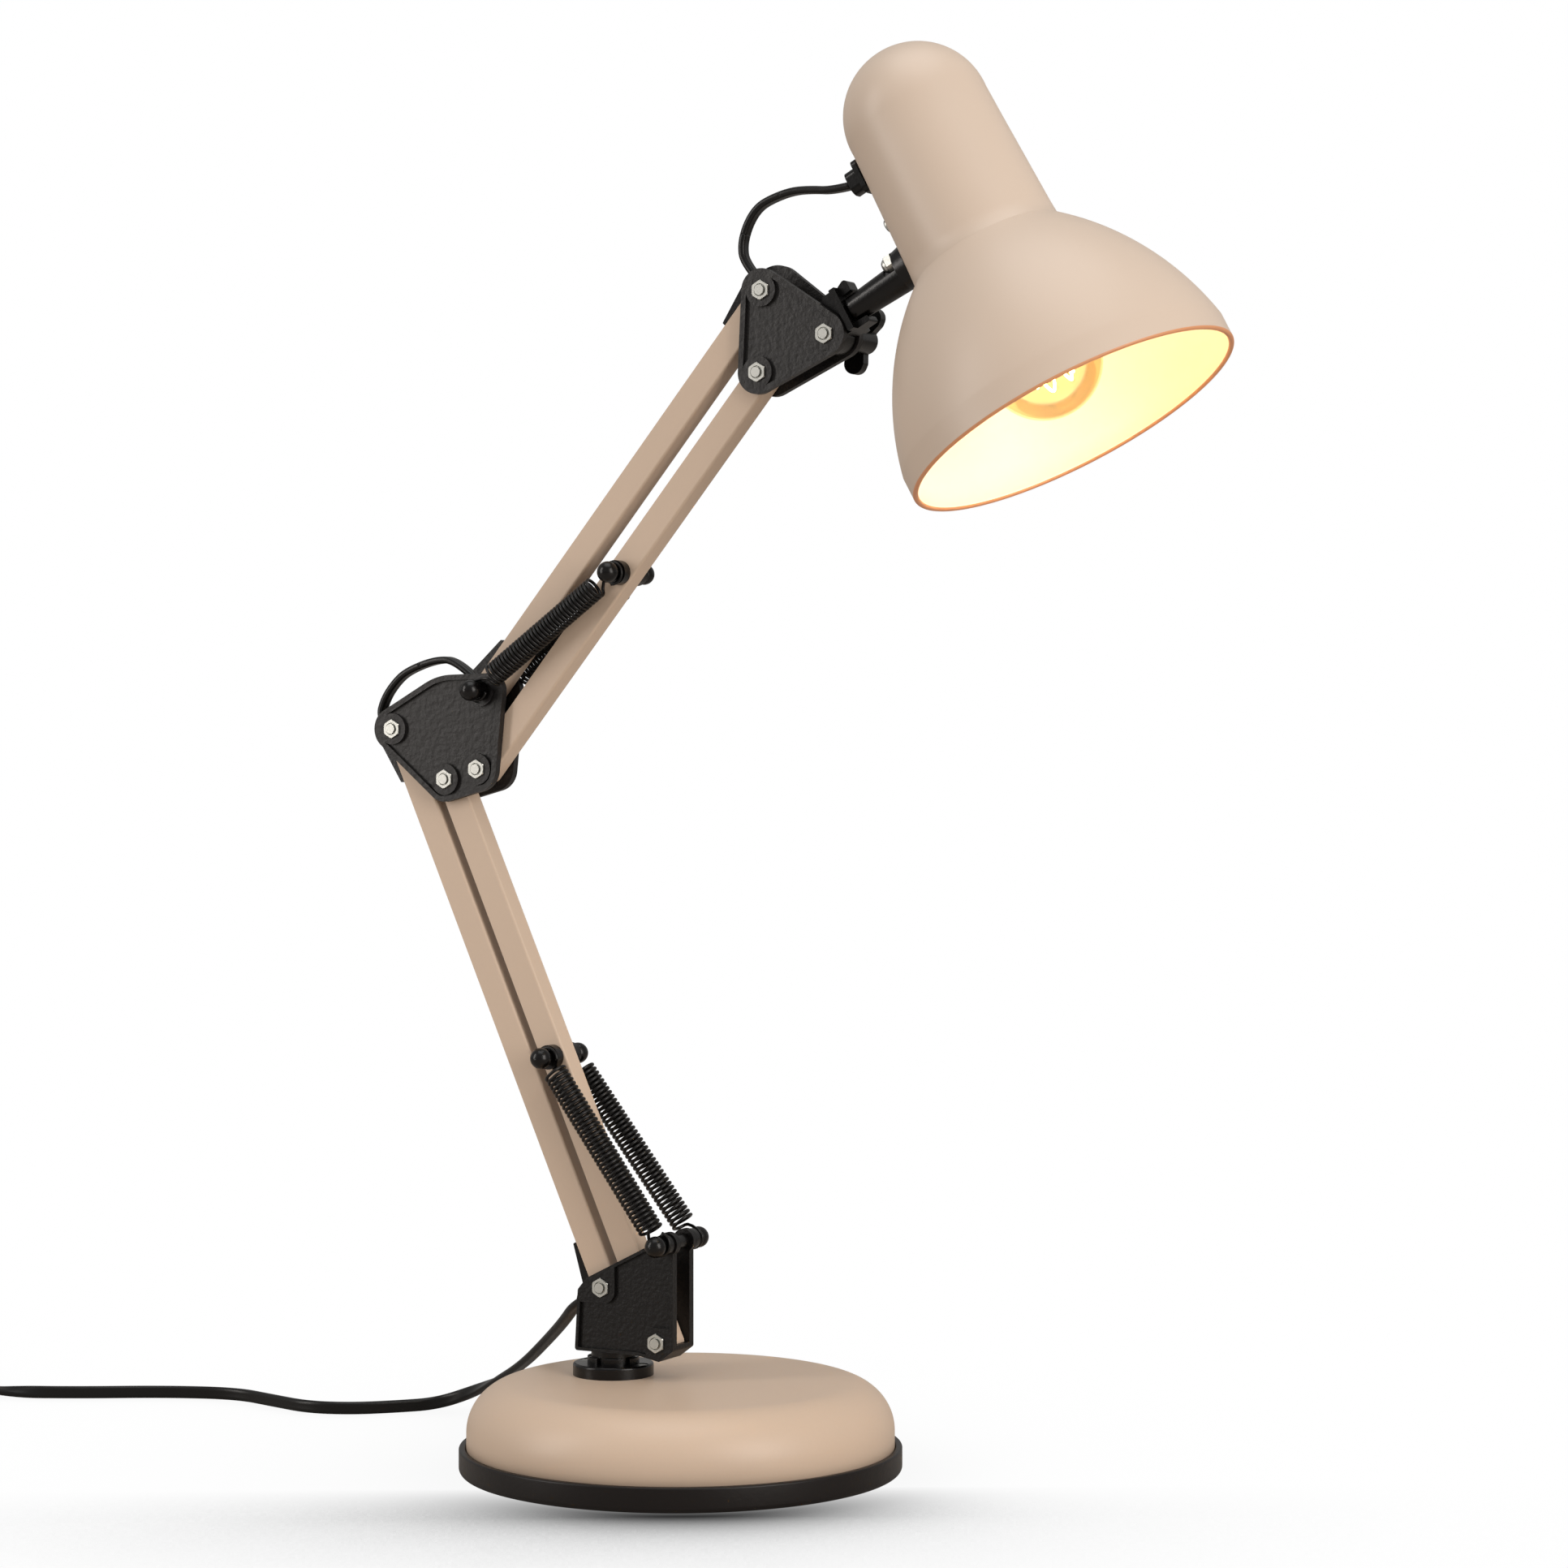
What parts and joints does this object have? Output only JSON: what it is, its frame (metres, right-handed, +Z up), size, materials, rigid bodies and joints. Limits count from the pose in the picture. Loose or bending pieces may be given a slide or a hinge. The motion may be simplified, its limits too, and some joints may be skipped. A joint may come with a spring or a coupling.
{
  "type": "table_lamp",
  "caption": "Spring-balanced desk lamp with two parallel-link arms, round weighted base, black moulded joints and a beige bell shade",
  "frame": {"origin": "the table surface under the middle of the round base", "axes": "+X towards the lit side of the lamp in the plane of the arms, +Y to the rear of the arm plane, +Z up"},
  "size_m": [0.761, 0.2334, 0.5574],
  "materials": {
    "beige": "matte",
    "plastic_black": "satin",
    "plastic_brown": "satin",
    "rubber_black": "matte",
    "iron": "matte",
    "zinc": "satin",
    "cord_black": "satin",
    "spring_black": "satin",
    "glass": "gloss",
    "bulb_metal": "satin",
    "filament": "gloss",
    "brass": "satin"
  },
  "bodies": {
    "base": {"foot_ring": "plastic_brown", "base_pad": "rubber_black", "base_weight": "iron", "base_cover": "beige", "swivel_flange": "plastic_black", "flange_screws": "zinc", "swivel_nut": "zinc", "mains_lead": "cord_black", "mains_coil": "cord_black", "plug_body": "plastic_black", "plug_prongs": "brass", "switch_body": "plastic_black"},
    "yaw": {"swivel_post": "plastic_black", "lower_bracket": "plastic_black", "shoulder_bolts": "zinc", "shoulder_nuts": "zinc", "base_spring_pin": "plastic_black", "lead_drop": "cord_black"},
    "link_a": {"bar_a": "beige", "bar_a_guides": "plastic_black", "bar_a_cord": "cord_black"},
    "link_b": {"bar_b": "beige", "lower_stud": "plastic_black", "lower_spring_front": "spring_black", "lower_spring_rear": "spring_black"},
    "elbow": {"elbow_plate_front": "plastic_black", "elbow_plate_rear": "plastic_black", "elbow_bolts": "zinc", "elbow_nuts": "zinc", "elbow_spring_pin": "plastic_black", "elbow_cord_lower": "cord_black"},
    "link_c": {"bar_c": "beige", "bar_c_guides": "plastic_black", "bar_c_cord": "cord_black", "elbow_cord_upper": "cord_black"},
    "link_d": {"bar_d": "beige", "upper_stud": "plastic_black", "upper_spring_front": "spring_black", "upper_spring_rear": "spring_black"},
    "head": {"head_plate_front": "plastic_black", "head_plate_rear": "plastic_black", "head_bolts": "zinc", "head_nuts": "zinc", "tilt_bolt": "zinc", "tilt_nut": "zinc", "head_cord_lower": "cord_black"},
    "tilt": {"tilt_hub": "plastic_black", "head_cord_middle": "cord_black"},
    "shade": {"shade_stem": "plastic_black", "stem_nut": "zinc", "shade_shell": "beige", "lamp_holder": "plastic_black", "bulb_glass": "glass", "bulb_cap": "bulb_metal", "bulb_filament": "filament", "cord_gland": "plastic_black", "neck_screw": "zinc", "head_cord_upper": "cord_black"},
    "knob": {"wing_knob": "plastic_black"},
    "rocker": {"switch_rocker": "plastic_black"}
  },
  "joints": [
    {"name": "base_swivel", "type": "hinge", "parent": "base", "child": "yaw", "pos_m": [-0.031, 0, 0.0458], "axis": [0, 0, 1], "range_deg": [-165, 165], "deforming": ["lead_drop"]},
    {"name": "lower_arm", "type": "hinge", "parent": "yaw", "child": "link_a", "pos_m": [-0.032, 0, 0.0716], "axis": [0, 1, 0], "range_deg": [-4, 15]},
    {"name": "lower_arm_rear", "type": "hinge", "parent": "yaw", "child": "link_b", "pos_m": [-0.0066, 0, 0.0512], "axis": [0, 1, 0], "range_deg": [-4, 15], "deforming": ["lower_spring_front", "lower_spring_rear"]},
    {"name": "elbow_level", "type": "hinge", "parent": "link_a", "child": "elbow", "pos_m": [-0.13093, 0, 0.29443], "axis": [0, 1, 0], "range_deg": [-15, 4], "deforming": ["elbow_cord_lower"]},
    {"name": "upper_arm", "type": "hinge", "parent": "elbow", "child": "link_c", "pos_m": [-0.08863, 0, 0.31003], "axis": [0, 1, 0], "range_deg": [-15, 55], "deforming": ["elbow_cord_upper"]},
    {"name": "upper_arm_rear", "type": "hinge", "parent": "elbow", "child": "link_d", "pos_m": [-0.09013, 0, 0.27823], "axis": [0, 1, 0], "range_deg": [-15, 55], "deforming": ["upper_spring_front", "upper_spring_rear"]},
    {"name": "head_level", "type": "hinge", "parent": "link_c", "child": "head", "pos_m": [0.04036, 0, 0.46522], "axis": [0, 1, 0], "range_deg": [-55, 15], "deforming": ["head_cord_lower"]},
    {"name": "shade_tilt", "type": "hinge", "parent": "head", "child": "tilt", "pos_m": [0.06816, 0, 0.44702], "axis": [0, 1, 0], "range_deg": [-20, 50], "deforming": ["head_cord_middle"]},
    {"name": "shade_turn", "type": "hinge", "parent": "tilt", "child": "shade", "pos_m": [0.06613, 0, 0.4507], "axis": [0.8759, 0, 0.4825], "range_deg": [-60, 60], "deforming": ["head_cord_upper"]},
    {"name": "knob_turn", "type": "hinge", "parent": "head", "child": "knob", "pos_m": [0.06816, 0, 0.44702], "axis": [0, 1, 0], "range_deg": [-180, 30]},
    {"name": "rocker_press", "type": "hinge", "parent": "base", "child": "rocker", "pos_m": [-0.408, 0.002, 0.015], "axis": [0, 1, 0], "range_deg": [-8, 8]}
  ],
  "couplings": [
    {"joint": "lower_arm_rear", "follows": "lower_arm", "ratio": 1},
    {"joint": "elbow_level", "follows": "lower_arm", "ratio": -1},
    {"joint": "upper_arm_rear", "follows": "upper_arm", "ratio": 1},
    {"joint": "head_level", "follows": "upper_arm", "ratio": -1}
  ]
}
